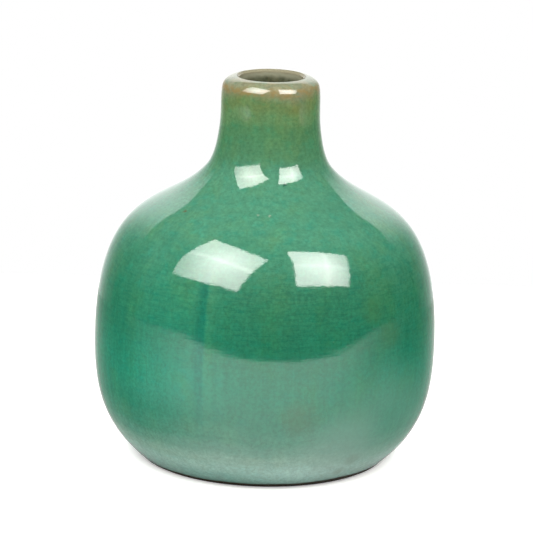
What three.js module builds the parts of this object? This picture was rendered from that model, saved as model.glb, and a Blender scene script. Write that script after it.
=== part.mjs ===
// A small wheel-thrown bud vase: one clay body with a turned foot ring, a glaze coat over the
// outside and a liner glaze coat over the inside. The two coats meet at the top of the lip.
// Millimetres, +Z up. The origin is on the vase's axis, in the plane that the foot ring stands on.
// Every section below is a list of (radius, height) points, turned about the axis.
import * as THREE from 'three';

// Overall form
const overallHeight = 113.3;
const bellyRadius = 50;
const bellyHeight = 35; // where the body is widest
const neckRootRadius = 18.7; // where the shoulder turns up into the neck
const neckRootHeight = 86;
const neckRootSlope = THREE.MathUtils.degToRad(48);
const rimRadius = 14.3; // outside of the neck, just under the lip

// Lip: rounded broadly to the outside and tightly to the inside
const lipInnerWidth = 0.8; // across, from the crest to the bore; the rest of the wall is outside it
const lipInnerDrop = 1.2;
const lipOuterDrop = 3.8;

// Walls and coats
const clayWall = 4.3;
const clayFloor = 5.5;
const glazeThickness = 0.4;

// Foot ring, turned from the same clay and left bare
const footRadius = 35.2; // outer edge of the flat that the vase stands on
const footRingWidth = 5.5;
const footBevel = 0.6;
const recessDepth = 2.2;
const recessSlope = 1.4; // how far the recess wall leans in over its height
const footFlare = THREE.MathUtils.degToRad(41); // of the body above the foot, from the horizontal
const glazeLineHeight = 0.5; // lower edge of the outside glaze
const glazeLineSetOut = 1.0; // that edge's distance outside the foot's flat
const glazeBead = 0.2; // how far the glaze's rounded lower edge rolls past that line

// Fullness of each curve: its handles' lengths as shares of the stretch that they shape
const footFullness = 0.68;
const bellyFullnessBelow = 0.53;
const bellyFullnessAbove = 0.867;
const shoulderFullness = 0.565;
const neckFullnessBelow = 0.08;
const neckFullnessAbove = 0.78;
const bowlFullnessDown = 0.84;
const bowlFullnessIn = 0.84;

// Facets
const turns = 48; // facets around the axis
const belowBelly = 6; // steps along each stretch of a section
const belowNeck = 8;
const alongNeck = 6;
const alongBowl = 8;
const roundLip = 4;

const wall = clayWall + 2 * glazeThickness;
const boreRadius = rimRadius - wall;
const crestRadius = boreRadius + lipInnerWidth;
const lipBase = overallHeight - lipOuterDrop;
const floorHeight = recessDepth + clayFloor + glazeThickness;

const point = (radius, height) => new THREE.Vector2(radius, height);

// One stretch of an outline: a cubic curve from start to end. Each handle is a direction and a length.
function stretch(start, startWay, startReach, end, endWay, endReach) {
  const startHandle = start.clone().addScaledVector(startWay, startReach);
  const endHandle = end.clone().addScaledVector(endWay, -endReach);
  return new THREE.CubicBezierCurve(start, startHandle, endHandle, end);
}

// The curve's points, moved sideways by a distance: to its left as it runs, so inwards on a way up
// the outside. The first point is left out where the stretch before it already holds that point.
function pointsBeside(curve, distance, steps, keepFirst) {
  const points = [];
  for (let i = keepFirst ? 0 : 1; i <= steps; i++) {
    const at = curve.getPoint(i / steps);
    const along = curve.getTangent(i / steps);
    points.push(point(at.x - along.y * distance, at.y + along.x * distance));
  }
  return points;
}

const upwards = point(0, 1);
const outOfTheFoot = point(Math.cos(footFlare), Math.sin(footFlare));
const intoTheNeck = point(-Math.cos(neckRootSlope), Math.sin(neckRootSlope));

const glazeLine = point(footRadius + glazeLineSetOut, glazeLineHeight);
const belly = point(bellyRadius, bellyHeight);
const neckRoot = point(neckRootRadius, neckRootHeight);
const neckTop = point(rimRadius, lipBase);

const lowerBelly = stretch(
  glazeLine, outOfTheFoot, footFullness * (bellyRadius - glazeLine.x) / Math.cos(footFlare),
  belly, upwards, bellyFullnessBelow * (bellyHeight - glazeLineHeight),
);
const shoulder = stretch(
  belly, upwards, bellyFullnessAbove * (neckRootHeight - bellyHeight),
  neckRoot, intoTheNeck, shoulderFullness * (bellyRadius - neckRootRadius),
);
const neck = stretch(
  neckRoot, intoTheNeck, neckFullnessBelow * (lipBase - neckRootHeight),
  neckTop, upwards, neckFullnessAbove * (lipBase - neckRootHeight),
);

// Inside the belly, from its widest point down and in to the middle of the floor
const bowl = stretch(
  point(bellyRadius - wall, bellyHeight), point(0, -1), bowlFullnessDown * (bellyHeight - floorHeight),
  point(0, floorHeight), point(-1, 0), bowlFullnessIn * (bellyRadius - wall),
);

// The outside from the glaze line up to the lip, at a depth under the glazed surface
function outsideWall(depth) {
  return [
    ...pointsBeside(lowerBelly, depth, belowBelly, true),
    ...pointsBeside(shoulder, depth, belowNeck, false),
    ...pointsBeside(neck, depth, alongNeck, false),
  ];
}

// A quarter of an ellipse on the lip, centred under the crest
function lipArc(across, drop, depth, startAngle) {
  const points = [];
  for (let i = 1; i <= roundLip; i++) {
    const angle = startAngle + (Math.PI / 2) * (i / roundLip);
    points.push(point(
      crestRadius + (across - depth) * Math.cos(angle),
      overallHeight - drop + (drop - depth) * Math.sin(angle),
    ));
  }
  return points;
}

const lipOutside = (depth) => lipArc(rimRadius - crestRadius, lipOuterDrop, depth, 0);
const lipInside = (depth) => lipArc(lipInnerWidth, lipInnerDrop, depth, Math.PI / 2);

// The inside from under the lip down to the middle of the floor, at a depth under the liner's surface
function insideWall(depth) {
  const upTheInside = [
    ...pointsBeside(shoulder, wall - depth, belowNeck, false),
    ...pointsBeside(neck, wall - depth, alongNeck, false),
  ];
  return [...upTheInside.reverse(), ...pointsBeside(bowl, depth, alongBowl, true)];
}

// The clay from the middle of the recess under the vase, out across the foot ring
function footSection() {
  const ringInside = footRadius - footRingWidth;
  return [
    point(0, recessDepth),
    point(ringInside - footBevel - recessSlope, recessDepth),
    point(ringInside - footBevel, footBevel),
    point(ringInside, 0),
    point(footRadius, 0),
  ];
}

function claySection() {
  return [
    ...footSection(),
    ...outsideWall(glazeThickness),
    ...lipOutside(glazeThickness),
    ...lipInside(glazeThickness),
    ...insideWall(glazeThickness),
  ];
}

// The outside coat, as a loop: up its free surface, over to the crest, and back down on the clay
function outsideGlazeSection() {
  const free = [...outsideWall(0), ...lipOutside(0)];
  const onClay = [...outsideWall(glazeThickness), ...lipOutside(glazeThickness)].reverse();
  const bead = free[0].clone().add(onClay[onClay.length - 1]).multiplyScalar(0.5);
  bead.addScaledVector(outOfTheFoot, -glazeBead);
  return [...free, ...onClay, bead, free[0].clone()];
}

// The liner coat: from the middle of the floor up on the clay to the crest, and back down its free surface
function insideGlazeSection() {
  const crest = (depth) => point(crestRadius, overallHeight - depth);
  const onClay = [crest(glazeThickness), ...lipInside(glazeThickness), ...insideWall(glazeThickness)];
  const free = [crest(0), ...lipInside(0), ...insideWall(0)];
  return [...onClay.reverse(), ...free];
}

function turned(name, section, material) {
  const geometry = new THREE.LatheGeometry(section, turns);
  geometry.rotateX(Math.PI / 2);
  const mesh = new THREE.Mesh(geometry, material);
  mesh.name = name;
  return mesh;
}

const bareClay = new THREE.MeshStandardMaterial({ color: 0x3a2a22, roughness: 0.85, metalness: 0 });
const greenGlaze = new THREE.MeshStandardMaterial({ color: 0x3f8f6c, roughness: 0.08, metalness: 0 });
const linerGlaze = new THREE.MeshStandardMaterial({ color: 0x8f947a, roughness: 0.15, metalness: 0 });

const vase = new THREE.Group();
vase.add(turned('clay_body', claySection(), bareClay));
vase.add(turned('outside_glaze', outsideGlazeSection(), greenGlaze));
vase.add(turned('liner_glaze', insideGlazeSection(), linerGlaze));

export default vase;
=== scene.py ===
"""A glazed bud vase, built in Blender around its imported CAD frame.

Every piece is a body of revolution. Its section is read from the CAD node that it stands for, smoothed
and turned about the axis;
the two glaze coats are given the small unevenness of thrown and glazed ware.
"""
import math

import bpy
import numpy as np
from mathutils import Matrix, Vector


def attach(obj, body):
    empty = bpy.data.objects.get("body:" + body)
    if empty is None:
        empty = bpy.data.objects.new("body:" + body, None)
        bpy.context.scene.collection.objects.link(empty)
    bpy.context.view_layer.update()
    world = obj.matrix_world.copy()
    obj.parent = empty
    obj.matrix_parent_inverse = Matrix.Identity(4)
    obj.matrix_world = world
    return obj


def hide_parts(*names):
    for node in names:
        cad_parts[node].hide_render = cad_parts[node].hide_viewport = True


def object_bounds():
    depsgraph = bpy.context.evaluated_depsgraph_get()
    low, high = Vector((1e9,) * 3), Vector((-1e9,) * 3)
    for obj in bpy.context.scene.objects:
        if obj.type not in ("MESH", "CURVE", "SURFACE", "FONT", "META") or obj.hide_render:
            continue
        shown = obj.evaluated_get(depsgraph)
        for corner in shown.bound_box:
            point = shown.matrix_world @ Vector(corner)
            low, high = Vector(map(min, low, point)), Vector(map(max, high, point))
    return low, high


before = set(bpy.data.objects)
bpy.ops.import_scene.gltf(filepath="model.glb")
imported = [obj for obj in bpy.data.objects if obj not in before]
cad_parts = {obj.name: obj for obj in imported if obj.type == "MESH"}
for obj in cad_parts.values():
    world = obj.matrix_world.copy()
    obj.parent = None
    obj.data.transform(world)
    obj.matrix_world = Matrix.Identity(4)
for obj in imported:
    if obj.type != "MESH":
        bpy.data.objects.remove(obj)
cad_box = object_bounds()

MM = 0.001


# ---------------------------------------------------------------- sections

def section(node):
    """The node's corners where y = 0 and x >= 0, as (radius, height), in their order along its section.

    It starts at the lower end on the axis, or at the lowest corner of a section that closes on itself.
    """
    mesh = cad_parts[node].data
    near = 1e-6
    key = {}
    for vertex in mesh.vertices:
        x, y, z = vertex.co
        if abs(y) < near and x > -near:
            key[vertex.index] = (round(max(x, 0.0), 6), round(z, 6))
    beside = {corner: set() for corner in key.values()}
    for edge in mesh.edges:
        a, b = (key.get(index) for index in edge.vertices)
        if a and b and a != b:
            beside[a].add(b)
            beside[b].add(a)
    ends = [corner for corner in beside if len(beside[corner]) == 1]
    start = min(ends or beside, key=lambda corner: corner[1])
    path = [start]
    step = max(beside[start], key=lambda corner: corner[0])
    while step is not None and step != start:
        path.append(step)
        onward = [corner for corner in beside[step] if corner != path[-2]]
        step = onward[0] if onward else None
    return path


def spline(points, spacing):
    """A smooth curve through the points, cut into even steps of about the spacing."""
    points = np.array(points, float)
    lengths = np.linalg.norm(np.diff(points, axis=0), axis=1)
    at = np.concatenate([[0.0], np.cumsum(lengths)])
    n = len(points)
    if n < 3:
        steps = max(1, round(at[-1] / spacing))
        return np.array([points[0] + (points[-1] - points[0]) * i / steps for i in range(steps + 1)])
    matrix = np.zeros((n, n))
    right = np.zeros((n, 2))
    matrix[0, :2] = (2.0, 1.0)
    right[0] = 3.0 * (points[1] - points[0]) / lengths[0]
    matrix[-1, -2:] = (1.0, 2.0)
    right[-1] = 3.0 * (points[-1] - points[-2]) / lengths[-1]
    for i in range(1, n - 1):
        before, after = lengths[i - 1], lengths[i]
        matrix[i, i - 1:i + 2] = (after, 2.0 * (before + after), before)
        come, go = points[i] - points[i - 1], points[i + 1] - points[i]
        right[i] = 3.0 * (after * come / before + before * go / after)
    slopes = np.linalg.solve(matrix, right)
    steps = max(2, round(at[-1] / spacing))
    found = []
    for length in np.linspace(0.0, at[-1], steps + 1):
        i = min(int(np.searchsorted(at, length, side="right")) - 1, n - 2)
        t = (length - at[i]) / lengths[i]
        found.append(
            (1 + 2 * t) * (1 - t) ** 2 * points[i]
            + t * (1 - t) ** 2 * lengths[i] * slopes[i]
            + t * t * (3 - 2 * t) * points[i + 1]
            + t * t * (t - 1) * lengths[i] * slopes[i + 1]
        )
    return np.array(found)


def smooth_path(points, spacing, corner_angle=34.0):
    """A spline through the points, broken where they turn sharply, so that real corners stay."""
    points = np.array(points, float)
    along = np.diff(points, axis=0)
    along /= np.linalg.norm(along, axis=1)[:, None]
    breaks = [0]
    for i in range(1, len(points) - 1):
        if math.degrees(math.acos(np.clip(along[i - 1] @ along[i], -1.0, 1.0))) > corner_angle:
            breaks.append(i)
    breaks.append(len(points) - 1)
    found = [points[:1]]
    for first, last in zip(breaks, breaks[1:]):
        found.append(spline(points[first:last + 1], spacing)[1:])
    return np.vstack(found)


clay_section = section("clay_body")
outside_section = section("outside_glaze")
liner_section = section("liner_glaze")
on_clay = set(clay_section)

outside_loop = outside_section + outside_section[:1]
outside_free = [corner for corner in outside_loop[:-1] if corner not in on_clay]
outside_hidden = [corner for corner in outside_loop if corner in on_clay]
liner_hidden = [corner for corner in liner_section if corner in on_clay]
liner_free = [corner for corner in liner_section if corner not in on_clay]

HEIGHT = cad_box[1][2]
BELLY_RADIUS = max(corner[0] for corner in outside_free)


# ---------------------------------------------------------------- turned meshes

TURNS = 250  # columns around a coat
CLAY_TURNS = 180
RUN_ANGLE = math.radians(-110.0)  # where a thick run of glaze comes down the belly
CROWDING = 0.4  # how much closer together the columns lie there


def column_angles(turns):
    """Angles around the axis, closer together near the run of glaze."""
    even = np.arange(turns) * 2.0 * math.pi / turns
    return RUN_ANGLE + even - CROWDING * np.sin(even)


def normals_of(path):
    """Unit normals of a path of (radius, height), to the right of the way that it runs."""
    along = np.gradient(path, axis=0)
    along /= np.linalg.norm(along, axis=1)[:, None]
    return np.stack([along[:, 1], -along[:, 0]], axis=1)


def turn(name, path, lift, turns, closed):
    """Turns a path about the axis. lift(angles, path) gives each vertex's height off the plain surface.

    A path that isn't closed starts and ends on the axis.
    """
    angles = column_angles(turns)
    raised = path[None, :, :] + lift(angles, path)[:, :, None] * normals_of(path)[None, :, :]
    if not closed:
        raised[:, 0, 0] = 0.0
        raised[:, -1, 0] = 0.0
        raised[:, 0, 1] = path[0, 1]
        raised[:, -1, 1] = path[-1, 1]
    radius, height = raised[:, :, 0], raised[:, :, 1]
    rows = len(path)
    x = radius * np.cos(angles)[:, None]
    y = radius * np.sin(angles)[:, None]
    grid = np.stack([x, y, height], axis=2)
    first, last = (0, rows) if closed else (1, rows - 1)
    vertices = grid[:, first:last].reshape(-1, 3).tolist()
    per_column = last - first
    faces = []
    spans = per_column if closed else per_column - 1
    for column in range(turns):
        here = column * per_column
        there = ((column + 1) % turns) * per_column
        for row in range(spans):
            after = (row + 1) % per_column
            faces.append((here + row, there + row, there + after, here + after))
    if not closed:
        bottom, top = len(vertices), len(vertices) + 1
        vertices.append([0.0, 0.0, float(path[0, 1])])
        vertices.append([0.0, 0.0, float(path[-1, 1])])
        for column in range(turns):
            here = column * per_column
            there = ((column + 1) % turns) * per_column
            faces.append((bottom, there, here))
            faces.append((top, here + per_column - 1, there + per_column - 1))
    mesh = bpy.data.meshes.new(name)
    mesh.from_pydata(vertices, [], faces)
    mesh.update()
    mesh.shade_smooth()
    mesh.set_sharp_from_angle(angle=math.radians(38.0))
    piece = bpy.data.objects.new(name, mesh)
    bpy.context.scene.collection.objects.link(piece)
    return piece


def ease(value, low, high):
    """0 below low, 1 above high, smooth between them."""
    t = np.clip((value - low) / (high - low), 0.0, 1.0)
    return t * t * (3.0 - 2.0 * t)


def bump(value, centre, width):
    return np.exp(-((value - centre) / width) ** 2)


# ---------------------------------------------------------------- thrown and glazed unevenness

def throwing_rings(angles, height):
    """The potter's faint finger rings, which climb a little as they go round."""
    climb = height + 0.9 * MM * angles[:, None] / (2.0 * math.pi)
    waves = 2.0 * math.pi * climb / MM
    wide = np.sin(waves / 6.7) + 0.6 * np.sin(waves / 4.1 + 1.3)
    fine = np.sin(waves / 2.3 + 0.7 * np.sin(3.0 * angles)[:, None])
    return 0.0045 * MM * wide + 0.0012 * MM * fine


def slow_waves(angles, height):
    """The whole wall's slight unevenness."""
    a = angles[:, None]
    return MM * (
        0.04 * np.sin(2.0 * a + 1.0 + height / (30.0 * MM))
        + 0.02 * np.sin(3.0 * a - height / (17.0 * MM))
        + 0.006 * np.sin(7.0 * a + 2.0 + height / (9.0 * MM))
    )


def glaze_run(angles, height):
    """A thick run of glaze from the shoulder down the belly."""
    turned = (angles - RUN_ANGLE + math.pi) % (2.0 * math.pi) - math.pi
    across = turned[:, None] * BELLY_RADIUS
    down = ease(height, 12.0 * MM, 30.0 * MM) * (1.0 - ease(height, 61.0 * MM, 64.0 * MM))
    ridge = 0.022 * MM * bump(across, -0.4 * MM, 1.5 * MM)
    return ridge * down


def fade(path, start, end):
    """1 along the path, falling to 0 over the given lengths at its two ends."""
    length = np.concatenate([[0.0], np.cumsum(np.linalg.norm(np.diff(path, axis=0), axis=1))])
    return ease(length, 0.0, start) * ease(length[-1] - length, 0.0, end)


# ---------------------------------------------------------------- the three pieces

def outside_coat():
    free = smooth_path(outside_free, 0.68 * MM)
    hidden = smooth_path(outside_hidden, 5.0 * MM)
    if np.linalg.norm(hidden[0] - free[-1]) > np.linalg.norm(hidden[-1] - free[-1]):
        hidden = hidden[::-1]
    path = np.vstack([free, hidden])
    shown = np.concatenate([fade(free, 3.0 * MM, 5.0 * MM), np.zeros(len(hidden))])

    def lift(angles, points):
        height = points[None, :, 1]
        parts = (throwing_rings, slow_waves, glaze_run)
        return shown * sum(part(angles, height) for part in parts)

    return turn("glaze_outside", path, lift, TURNS, closed=True)


def liner_coat():
    hidden = smooth_path(liner_hidden, 3.0 * MM)
    free = smooth_path(liner_free, 1.0 * MM)
    path = np.vstack([hidden, free])
    shown = np.concatenate([np.zeros(len(hidden)), fade(free, 4.0 * MM, 10.0 * MM)])

    def lift(angles, points):
        height = points[None, :, 1]
        return shown * 1.6 * throwing_rings(angles, height)

    return turn("glaze_liner", path, lift, TURNS, closed=False)


def clay():
    path = smooth_path(clay_section, 1.6 * MM)

    def lift(angles, points):
        return np.zeros((len(angles), len(points)))

    return turn("clay", path, lift, CLAY_TURNS, closed=False)


glaze_outside = outside_coat()
glaze_liner = liner_coat()
clay_piece = clay()

for piece, node, slot in (
    (clay_piece, "clay_body", "bare_clay"),
    (glaze_outside, "outside_glaze", "green_glaze"),
    (glaze_liner, "liner_glaze", "liner_glaze"),
):
    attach(piece, "root")
    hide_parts(node)


# ---------------------------------------------------------------- materials

class Tree:
    """A small helper that adds and links shader nodes."""

    def __init__(self, tree):
        self.tree = tree
        tree.nodes.clear()

    def add(self, kind, inputs=(), **settings):
        node = self.tree.nodes.new(kind)
        for name, value in settings.items():
            setattr(node, name, value)
        for name, value in dict(inputs).items():
            self.put(value, node.inputs[name])
        return node

    def put(self, value, socket):
        if isinstance(value, bpy.types.NodeSocket):
            self.tree.links.new(value, socket)
        elif value is not None:
            socket.default_value = value

    def math(self, operation, a, b=None, clamp=False):
        node = self.add("ShaderNodeMath", operation=operation, use_clamp=clamp)
        self.put(a, node.inputs[0])
        self.put(b, node.inputs[1])
        return node.outputs[0]

    def ease(self, value, low, high, start=0.0, end=1.0):
        node = self.add("ShaderNodeMapRange", interpolation_type="SMOOTHSTEP")
        sockets = ("Value", "From Min", "From Max", "To Min", "To Max")
        for name, given in zip(sockets, (value, low, high, start, end)):
            self.put(given, node.inputs[name])
        return node.outputs[0]

    def mix(self, factor, a, b, blend="MIX"):
        node = self.add("ShaderNodeMix", data_type="RGBA", blend_type=blend)
        self.put(factor, node.inputs[0])
        self.put(a, node.inputs[6])
        self.put(b, node.inputs[7])
        return node.outputs[2]

    def tint(self, amount, base, red, green, blue):
        """The base colour, multiplied by another one by a given amount."""
        return self.mix(amount, base, self.mix(1.0, base, colour(red, green, blue), "MULTIPLY"))

    def blend(self, factor, a, b):
        """The same as mix, for plain numbers."""
        return self.add("ShaderNodeMix", {0: factor, 2: a, 3: b}, data_type="FLOAT").outputs[0]

    def stretch(self, vector, x, y, z):
        node = self.add("ShaderNodeVectorMath", {0: vector}, operation="MULTIPLY")
        node.inputs[1].default_value = (x, y, z)
        return node.outputs[0]

    def noise(self, vector, scale, detail=3.0, roughness=0.5, distortion=0.0):
        inputs = {"Vector": vector, "Scale": scale, "Detail": detail}
        inputs.update({"Roughness": roughness, "Distortion": distortion})
        return self.add("ShaderNodeTexNoise", inputs).outputs[0]

    def stops(self, value, stops):
        """A colour ramp whose stops are (place, colour), eased between."""
        ramp = self.add("ShaderNodeValToRGB", {0: value})
        ramp.color_ramp.interpolation = "EASE"
        elements = ramp.color_ramp.elements
        for place, shade in stops[1:-1]:
            elements.new(place)
        for element, (place, shade) in zip(elements, stops):
            element.position = place
            element.color = shade
        return ramp.outputs[0]

    def values(self, value, stops):
        """The same for plain numbers, straight between the stops."""
        ramp = self.add("ShaderNodeValToRGB", {0: value})
        elements = ramp.color_ramp.elements
        for place, level in stops[1:-1]:
            elements.new(place)
        for element, (place, level) in zip(elements, stops):
            element.position = place
            element.color = (level, level, level, 1.0)
        return ramp.outputs[0]

    def grey(self, value):
        node = self.add("ShaderNodeCombineXYZ", {0: value, 1: value, 2: value})
        return node.outputs[0]


def colour(red, green, blue):
    return (red, green, blue, 1.0)


def new_material(name):
    material = bpy.data.materials.new(name)
    material.use_nodes = True
    return material, Tree(material.node_tree)


def millimetres(tree):
    """The point on the surface, in millimetres, its three parts, and its angle around the axis."""
    point = tree.stretch(tree.add("ShaderNodeTexCoord").outputs["Object"], 1000.0, 1000.0, 1000.0)
    parts = tree.add("ShaderNodeSeparateXYZ", {0: point})
    x, y, z = parts.outputs
    return point, x, y, z, tree.math("ARCTAN2", y, x)


def finish_surface(tree, base, roughness, bump_height, distance):
    """A plain dielectric surface: the bare clay."""
    normal = tree.add("ShaderNodeBump", {"Height": bump_height, "Distance": distance})
    shader = tree.add("ShaderNodeBsdfPrincipled", {"Base Color": base, "Roughness": roughness})
    shader.inputs["IOR"].default_value = 1.45
    tree.put(normal.outputs[0], shader.inputs["Normal"])
    tree.put(shader.outputs[0], tree.add("ShaderNodeOutputMaterial").inputs["Surface"])


LOOKING_DOWN = 0.26  # the usual view is from a little above: the sine of that angle


def finish_glaze(tree, base, bump_height, distance, dry=0.0):
    """A clear glassy coat over the colour, with the gloss that a polarising filter leaves.

    The filter takes the reflection off the sides, near 60 degrees, and leaves it on what tilts up or
    down. Where the surface is dry there is no coat.
    """
    facing = tree.add("ShaderNodeLayerWeight").outputs["Facing"]
    slant = tree.values(facing, [
        (0.0, 1.0), (0.09, 0.93), (0.12, 0.85), (0.18, 0.60), (0.23, 0.40), (0.29, 0.24), (0.36, 0.12),
        (0.45, 0.02), (0.53, 0.03), (0.59, 0.06), (0.66, 0.13), (0.74, 0.28), (0.83, 0.47), (1.0, 1.0),
    ])
    surface_normal = tree.add("ShaderNodeTexCoord").outputs["Normal"]
    rise = tree.add("ShaderNodeSeparateXYZ", {0: surface_normal}).outputs[2]
    straight = tree.math("SUBTRACT", 1.0, facing)
    sideways = tree.math("SUBTRACT", 1.001, tree.math("MULTIPLY", straight, straight))
    upright = tree.math("SUBTRACT", rise, tree.math("MULTIPLY", straight, LOOKING_DOWN))
    upright = tree.math("DIVIDE", tree.math("MULTIPLY", upright, upright), sideways)
    level = tree.ease(upright, 0.22, 0.85)
    gloss = tree.blend(level, slant, 1.0)
    gloss = tree.math("MULTIPLY", gloss, tree.math("SUBTRACT", 1.0, dry))
    normal = tree.add("ShaderNodeBump", {"Height": bump_height, "Distance": distance}).outputs[0]
    inputs = {"Base Color": base, "Coat Weight": gloss, "Coat Normal": normal}
    shader = tree.add("ShaderNodeBsdfPrincipled", inputs)
    shader.inputs["Roughness"].default_value = 0.5
    shader.inputs["Specular IOR Level"].default_value = 0.0
    shader.inputs["Coat IOR"].default_value = 1.75
    shader.inputs["Coat Roughness"].default_value = 0.02
    tree.put(shader.outputs[0], tree.add("ShaderNodeOutputMaterial").inputs["Surface"])


def around(azimuth, height, radius):
    """The point on the vase, in millimetres, at an azimuth in degrees from the front towards +X."""
    turned = math.radians(azimuth - 90.0)
    return (radius * math.cos(turned), radius * math.sin(turned), height)


def green_colours(tree):
    """The outside glaze's colour: a ramp up the vase, the glaze's mottling, lines, crazing, run, specks,
    broken lip and dark foot, and painted light: a lightened front-left, a pale band low on the right and
    broad pale patches.
    """
    point, x, y, z, angle = millimetres(tree)
    wander = tree.math("SUBTRACT", tree.noise(tree.stretch(point, 0.07, 0.07, 0.03), 1.0, 4.0), 0.5)
    height = tree.math("ADD", z, tree.math("MULTIPLY", wander, tree.ease(z, 8.0, 45.0, 4.0, 13.0)))
    # A ramp of colour up the vase. Below about a fifth of the height the stops grow paler towards the
    # foot: partly the glaze's own colour, partly painted light standing in for brighter light bounced up
    # from the table.
    base = tree.stops(tree.math("DIVIDE", height, HEIGHT / MM), [
        (0.0, colour(0.100, 0.260, 0.215)),
        (0.030, colour(0.125, 0.290, 0.240)),
        (0.060, colour(0.165, 0.325, 0.268)),
        (0.090, colour(0.140, 0.280, 0.218)),
        (0.125, colour(0.075, 0.213, 0.154)),
        (0.155, colour(0.042, 0.182, 0.120)),
        (0.210, colour(0.021, 0.155, 0.095)),
        (0.300, colour(0.014, 0.148, 0.087)),
        (0.350, colour(0.013, 0.136, 0.077)),
        (0.400, colour(0.013, 0.121, 0.066)),
        (0.480, colour(0.018, 0.122, 0.065)),
        (0.540, colour(0.025, 0.127, 0.070)),
        (0.600, colour(0.036, 0.147, 0.087)),
        (0.660, colour(0.045, 0.164, 0.101)),
        (0.770, colour(0.050, 0.162, 0.098)),
        (0.820, colour(0.051, 0.152, 0.076)),
        (0.880, colour(0.054, 0.152, 0.069)),
        (0.920, colour(0.082, 0.170, 0.072)),
        (0.950, colour(0.092, 0.152, 0.058)),
        (1.0, colour(0.150, 0.165, 0.105)),
    ])
    # Painted light: the front-left of the belly, between heights 18 and 72 mm, is lightened and blued by
    # up to about a third.
    painted_light_left = tree.math("MULTIPLY", tree.ease(x, -30.0, 0.0, 1.0, 0.0), tree.ease(x, -48.0, -28.0, 0.2, 1.0))
    painted_light_left = tree.math("MULTIPLY", painted_light_left, tree.ease(z, 18.0, 32.0))
    painted_light_left = tree.math("MULTIPLY", painted_light_left, tree.ease(z, 58.0, 72.0, 1.0, 0.15))
    base = tree.tint(painted_light_left, base, 1.30, 1.32, 1.42)
    # Painted reflection: a pale band of the white table, low on the right front, below 11 mm.
    painted_reflection_skirt = tree.math("MULTIPLY", tree.ease(x, -12.0, 14.0, 0.0, 0.65), tree.ease(z, 4.5, 11.0, 1.0, 0.0))
    base = tree.mix(painted_reflection_skirt, base, colour(0.300, 0.470, 0.420))
    body = tree.ease(z, 8.0, 34.0, 0.25, 1.0)
    olive = tree.noise(tree.stretch(point, 0.11, 0.11, 0.07), 1.0, 5.0, 0.6)
    olive = tree.math("MULTIPLY", tree.ease(olive, 0.46, 0.72, 0.0, 0.6), body)
    base = tree.tint(olive, base, 1.45, 1.03, 0.82)
    teal = tree.noise(tree.stretch(point, 0.16, 0.16, 0.22), 1.7, 4.0, 0.6)
    teal = tree.math("MULTIPLY", tree.ease(teal, 0.48, 0.70, 0.0, 0.6), body)
    base = tree.tint(teal, base, 0.62, 1.03, 1.10)
    grain = tree.noise(point, 1.1, 4.0, 0.7)
    base = tree.mix(1.0, base, tree.grey(tree.ease(grain, 0.25, 0.75, 0.84, 1.17)), "MULTIPLY")
    lines = tree.noise(tree.stretch(point, 0.21, 0.21, 1.6), 1.0, 4.0, 0.65, 0.5)
    low_down = tree.ease(z, 30.0, 48.0, 0.25, 1.0)
    line_depth = tree.math("MULTIPLY", low_down, tree.ease(z, 60.0, 80.0, 1.0, 0.4))
    dark_lines = tree.math("MULTIPLY", tree.ease(lines, 0.46, 0.62), line_depth)
    base = tree.tint(tree.math("MULTIPLY", dark_lines, 0.75), base, 0.66, 0.84, 0.90)
    streaks = tree.noise(tree.stretch(point, 0.55, 0.55, 0.035), 1.0, 3.0, 0.6)
    base = tree.mix(1.0, base, tree.grey(tree.ease(streaks, 0.3, 0.7, 0.94, 1.06)), "MULTIPLY")
    cells = {"Vector": point, "Scale": 0.30}
    cracks = tree.add("ShaderNodeTexVoronoi", cells, feature="DISTANCE_TO_EDGE").outputs[0]
    base = tree.mix(tree.ease(cracks, 0.0, 0.035, 0.16, 0.0), base, colour(0.03, 0.07, 0.045))

    across = tree.math("MULTIPLY", tree.math("SUBTRACT", angle, RUN_ANGLE), BELLY_RADIUS / MM)
    across = tree.math("ADD", across, tree.math("MULTIPLY", wander, 0.7))
    down = tree.math("MULTIPLY", tree.ease(z, 12.0, 44.0), tree.ease(z, 62.0, 67.0, 1.0, 0.0))
    trail = tree.math("MULTIPLY", tree.ease(across, -4.2, -1.5), tree.ease(across, -0.6, 0.1, 1.0, 0.0))
    trail = tree.math("MULTIPLY", tree.math("MULTIPLY", trail, down), 0.85)
    base = tree.tint(trail, base, 0.45, 0.84, 0.93)
    edge = tree.math("MULTIPLY", tree.ease(across, -0.2, 0.5), tree.ease(across, 1.2, 3.8, 1.0, 0.0))
    base = tree.tint(tree.math("MULTIPLY", edge, down), base, 1.32, 1.07, 1.02)

    rough = {"Vector": point, "Scale": 0.9, "Detail": 2.0}
    rough_point = tree.add("ShaderNodeTexNoise", rough).outputs[1]
    centred = tree.add("ShaderNodeVectorMath", {0: rough_point}, operation="SUBTRACT")
    centred.inputs[1].default_value = (0.5, 0.5, 0.5)
    shift = tree.stretch(centred.outputs[0], 1.6, 1.6, 1.6)
    moved = tree.add("ShaderNodeVectorMath", {0: point, 1: shift}, operation="ADD").outputs[0]
    # Each entry lays a soft round patch of colour: a speck of the glaze, a darker green patch, or a broad
    # pale patch of painted reflection.
    for azimuth, level, far, size, strength, tint in SPECKS_AND_PAINTED_LIGHT:
        apart = tree.add("ShaderNodeVectorMath", {0: moved}, operation="DISTANCE")
        apart.inputs[1].default_value = around(azimuth, level, far)
        amount = tree.ease(apart.outputs["Value"], 0.3 * size, size, strength, 0.0)
        base = tree.mix(amount, base, colour(*tint))

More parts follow.
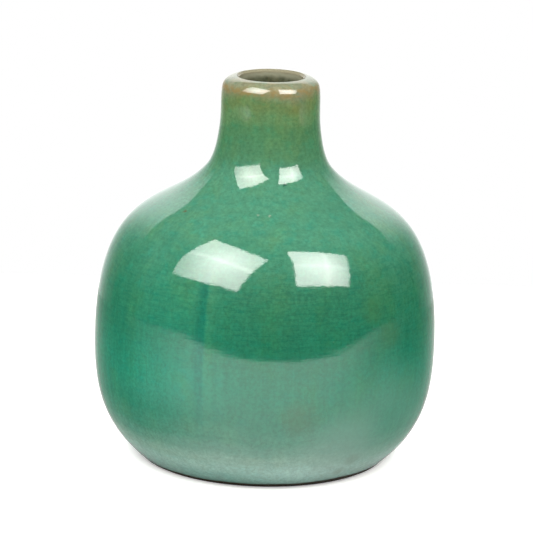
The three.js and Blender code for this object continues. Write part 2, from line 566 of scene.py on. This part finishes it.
    ragged = tree.math("MULTIPLY", tree.math("SUBTRACT", tree.noise(point, 0.55, 4.0, 0.65), 0.5), 2.0)
    lip = tree.math("ADD", z, ragged)
    broken = tree.math("MULTIPLY", tree.ease(lip, 108.5, 110.5), tree.ease(lip, 111.0, 112.3, 1.0, 0.0))
    patchy = tree.ease(tree.noise(tree.stretch(point, 0.5, 0.5, 0.9), 1.0, 4.0), 0.34, 0.62, 0.2, 0.75)
    base = tree.mix(tree.math("MULTIPLY", broken, patchy), base, colour(0.185, 0.128, 0.048))
    rolled = tree.math("ADD", tree.math("MULTIPLY", wander, 1.2), tree.ease(x, 0.0, 22.0, 0.0, -0.5))
    foot = tree.ease(tree.math("ADD", z, rolled), 1.0, 1.7, 0.92, 0.0)
    base = tree.mix(foot, base, colour(0.040, 0.018, 0.010))
    return point, lines, foot, base


PALE = (0.17, 0.23, 0.17)
DARK = (0.010, 0.045, 0.030)
BROWN = (0.075, 0.055, 0.028)
# Small pale, dark and brown specks of the glaze, then broad soft patches: darker green ones, and pale
# ones that are painted reflection.
SPECKS_AND_PAINTED_LIGHT = (  # azimuth, height, distance from the axis, size, strength, colour
    (-5.2, 78.8, 29.0, 0.7, 0.8, PALE),
    (1.2, 78.7, 29.0, 0.6, 0.8, PALE),
    (41.3, 70.2, 37.4, 0.7, 0.8, PALE),
    (59.7, 73.3, 34.8, 0.6, 0.7, PALE),
    (13.7, 85.5, 19.5, 0.9, 0.8, DARK),
    (53.4, 51.1, 47.4, 0.8, 0.7, DARK),
    (22.8, 46.5, 48.7, 0.8, 0.5, PALE),
    (-49.5, 77.0, 31.2, 0.9, 0.8, BROWN),
    (36.0, 8.6, 44.2, 3.4, 0.35, BROWN),
    (33.0, 4.6, 41.2, 2.6, 0.35, BROWN),
    (39.0, 54.0, 46.4, 6.5, 0.30, (0.040, 0.115, 0.040)),
    (46.0, 46.0, 48.8, 6.0, 0.25, (0.040, 0.110, 0.040)),
    (12.0, 24.0, 49.0, 7.5, 0.30, (0.050, 0.090, 0.050)),
    # Painted reflection: the next three are broad pale patches, low on the right front and at the left
    # edge.
    (48.0, 17.0, 47.0, 26.0, 0.40, (0.130, 0.250, 0.200)),
    (30.0, 12.0, 46.0, 18.0, 0.35, (0.160, 0.260, 0.220)),
    (-80.0, 57.0, 45.5, 7.0, 0.30, (0.070, 0.190, 0.140)),
)


def green_glaze():
    material, tree = new_material("green_glaze")
    point, lines, foot, base = green_colours(tree)
    ripple = tree.math("ADD", lines, tree.math("MULTIPLY", tree.noise(point, 0.35, 3.0), 1.5))
    finish_glaze(tree, base, ripple, 0.000012, foot)
    return material


def liner_glaze():
    material, tree = new_material("liner_glaze")
    point, x, y, z, angle = millimetres(tree)
    mottle = tree.noise(point, 0.45, 4.0, 0.6)
    base = tree.mix(tree.ease(mottle, 0.3, 0.7), colour(0.040, 0.046, 0.026), colour(0.095, 0.102, 0.064))
    streaks = tree.noise(tree.stretch(point, 0.7, 0.7, 0.05), 1.0, 3.0)
    base = tree.mix(tree.ease(streaks, 0.45, 0.7, 0.0, 0.5), base, colour(0.095, 0.090, 0.050))
    ragged = tree.math("MULTIPLY", tree.math("SUBTRACT", tree.noise(point, 0.6, 3.0), 0.5), 1.0)
    broken = tree.ease(tree.math("ADD", z, ragged), 110.3, 112.1)
    base = tree.mix(tree.math("MULTIPLY", broken, 0.8), base, colour(0.240, 0.245, 0.175))
    edge = tree.math("MULTIPLY", tree.ease(tree.math("ADD", z, ragged), 111.8, 112.7), 0.6)
    base = tree.mix(edge, base, colour(0.170, 0.150, 0.095))
    finish_glaze(tree, base, mottle, 0.00002)
    return material


def bare_clay():
    material, tree = new_material("bare_clay")
    point, x, y, z, angle = millimetres(tree)
    grit = tree.noise(point, 2.2, 6.0, 0.7)
    base = tree.mix(grit, colour(0.014, 0.007, 0.005), colour(0.050, 0.024, 0.014))
    specks = tree.noise(point, 5.0, 2.0)
    base = tree.mix(tree.ease(specks, 0.62, 0.70, 0.0, 0.6), base, colour(0.11, 0.075, 0.05))
    rings = tree.noise(tree.stretch(point, 0.1, 0.1, 0.1), 1.0, 2.0)
    roughness = tree.ease(grit, 0.2, 0.8, 0.75, 0.95)
    finish_surface(tree, base, roughness, tree.math("ADD", grit, rings), 0.0002)
    return material


for piece, material in (
    (glaze_outside, green_glaze()),
    (glaze_liner, liner_glaze()),
    (clay_piece, bare_clay()),
):
    piece.data.materials.append(material)


# ---------------------------------------------------------------- floor, light and camera

FLOOR_EDGE = 0.280  # from the vase to the table's front edge
FLOOR_SKEW = 0.18  # that edge's slope across the view
FLOOR_LEFT = -0.53
FLOOR_RIGHT = 0.75
FLOOR_BACK = 0.20
FLOOR_SHADE = 0.65  # how light the table is to the vase
FLOOR_SEEN = 0.95  # and to the camera
FLOOR_GLOW = 0.3  # what the camera sees on top of that
BACKDROP_WIDTH = 1.27  # half the backdrop's width, as a share of its distance
BACKDROP_TOP = 0.83  # its height, as a share of its distance
WHITE = 1.5  # how bright the lit table and backdrop are
ROOM = 0.05  # and the rest of the room
SOFTBOXES = (  # name, centre, side across, side up, width, height, radiance, brightness of the two seams
    ("softbox_left", (-0.345, -0.369, 0.691), (0.590, -0.807, 0.030), (0.422, 0.340, 0.840),
     0.705, 0.697, 8.8, (0.24, 0.05)),
    ("softbox_right", (0.472, -0.328, 0.618), (0.974, 0.224, 0.023), (-0.157, 0.602, 0.783),
     0.583, 0.562, 10.3, (0.12, 0.14)),
)
CAMERA_AT = (0.0, -1.0, 0.3117)
CAMERA_AIM = (0.0, 0.0, 0.0563)
CAMERA_LENS = 237.84  # millimetres, on a sensor 36 mm wide
CAMERA_ROLL = math.radians(1.444)


def floor():
    """The table top. The camera sees it brighter than the vase does, so that it stays plain white."""
    front = [(x, -FLOOR_EDGE + FLOOR_SKEW * x) for x in (FLOOR_LEFT, FLOOR_RIGHT)]
    corners = front + [(FLOOR_RIGHT, FLOOR_BACK), (FLOOR_LEFT, FLOOR_BACK)]
    mesh = bpy.data.meshes.new("floor")
    mesh.from_pydata([(x, y, 0.0) for x, y in corners], [], [(0, 1, 2, 3)])
    mesh.update()
    piece = bpy.data.objects.new("floor", mesh)
    bpy.context.scene.collection.objects.link(piece)
    material, tree = new_material("floor")
    seen = tree.add("ShaderNodeLightPath").outputs["Is Camera Ray"]
    base = tree.mix(seen, colour(*[FLOOR_SHADE] * 3), colour(*[FLOOR_SEEN] * 3))
    shader = tree.add("ShaderNodeBsdfDiffuse", {"Color": base})
    glow = tree.add("ShaderNodeEmission", {"Strength": tree.math("MULTIPLY", seen, FLOOR_GLOW)})
    shader = tree.add("ShaderNodeAddShader", {0: shader.outputs[0], 1: glow.outputs[0]})
    tree.put(shader.outputs[0], tree.add("ShaderNodeOutputMaterial").inputs["Surface"])
    piece.data.materials.append(material)


def studio_world():
    """A dark room with a white backdrop behind the vase; the camera sees plain white around the table."""
    world = bpy.data.worlds.new("studio")
    world.use_nodes = True
    bpy.context.scene.world = world
    tree = Tree(world.node_tree)
    way = tree.add("ShaderNodeTexCoord").outputs["Generated"]
    x, y, z = tree.add("ShaderNodeSeparateXYZ", {0: way}).outputs
    ahead = tree.math("MAXIMUM", y, 0.0001)
    across = tree.math("DIVIDE", tree.math("ABSOLUTE", x), ahead)
    above = tree.math("DIVIDE", z, ahead)
    inside = tree.math(
        "MULTIPLY",
        tree.ease(across, BACKDROP_WIDTH - 0.1, BACKDROP_WIDTH + 0.1, 1.0, 0.0),
        tree.ease(above, BACKDROP_TOP - 0.05, BACKDROP_TOP + 0.05, 1.0, 0.0),
    )
    inside = tree.math("MULTIPLY", inside, tree.math("GREATER_THAN", y, 0.0))
    seen = tree.add("ShaderNodeLightPath").outputs["Is Camera Ray"]
    strength = tree.blend(seen, tree.ease(inside, 0.0, 1.0, ROOM, WHITE), 1.0)
    background = tree.add("ShaderNodeBackground", {"Color": colour(1.0, 1.0, 1.0), "Strength": strength})
    tree.put(background.outputs[0], tree.add("ShaderNodeOutputWorld").inputs["Surface"])


def softbox(name, centre, across, up, width, height, radiance, bands):
    """A rectangular light with sides along across and up, brighter in the middle and along its seams."""
    light = bpy.data.lights.new(name, "AREA")
    light.shape = "RECTANGLE"
    light.size = width
    light.size_y = height
    light.energy = math.pi * width * height
    light.color = (1.0, 0.975, 0.94)
    light.use_nodes = True
    tree = Tree(light.node_tree)
    place = tree.add("ShaderNodeNewGeometry").outputs["Parametric"]
    place = tree.add("ShaderNodeSeparateXYZ", {0: place}).outputs
    u = tree.math("SUBTRACT", place[0], 0.5)
    v = tree.math("SUBTRACT", place[1], 0.5)
    squares = tree.math("ADD", tree.math("MULTIPLY", u, u), tree.math("MULTIPLY", v, v))
    strength = tree.ease(tree.math("SQRT", squares), 0.0, 0.60, 1.12, 0.72)
    for off_centre, bright in zip((v, u), bands):
        seam = tree.ease(tree.math("ABSOLUTE", off_centre), 0.0, 0.08, bright, 0.0)
        strength = tree.math("ADD", strength, seam)
    strength = tree.math("MULTIPLY", strength, radiance)
    emission = tree.add("ShaderNodeEmission", {"Strength": strength})
    tree.put(emission.outputs[0], tree.add("ShaderNodeOutputLight").inputs["Surface"])
    lamp = bpy.data.objects.new(name, light)
    across = Vector(across).normalized()
    up = (Vector(up) - across * Vector(up).dot(across)).normalized()
    out = across.cross(up)  # a light shines along its own -Z
    lamp.matrix_world = Matrix.Translation(centre) @ Matrix((across, up, out)).transposed().to_4x4()
    bpy.context.scene.collection.objects.link(lamp)


def camera():
    data = bpy.data.cameras.new("camera")
    data.sensor_width = 36.0
    data.lens = CAMERA_LENS
    data.clip_start = 0.05
    data.clip_end = 20.0
    holder = bpy.data.objects.new("camera", data)
    turned = (Vector(CAMERA_AIM) - Vector(CAMERA_AT)).to_track_quat("-Z", "Y").to_matrix().to_4x4()
    roll = Matrix.Rotation(CAMERA_ROLL, 4, "Z")
    holder.matrix_world = Matrix.Translation(CAMERA_AT) @ turned @ roll
    bpy.context.scene.collection.objects.link(holder)
    bpy.context.scene.camera = holder


floor()
studio_world()
for box in SOFTBOXES:
    softbox(*box)
camera()
bpy.context.scene.view_settings.view_transform = "Standard"
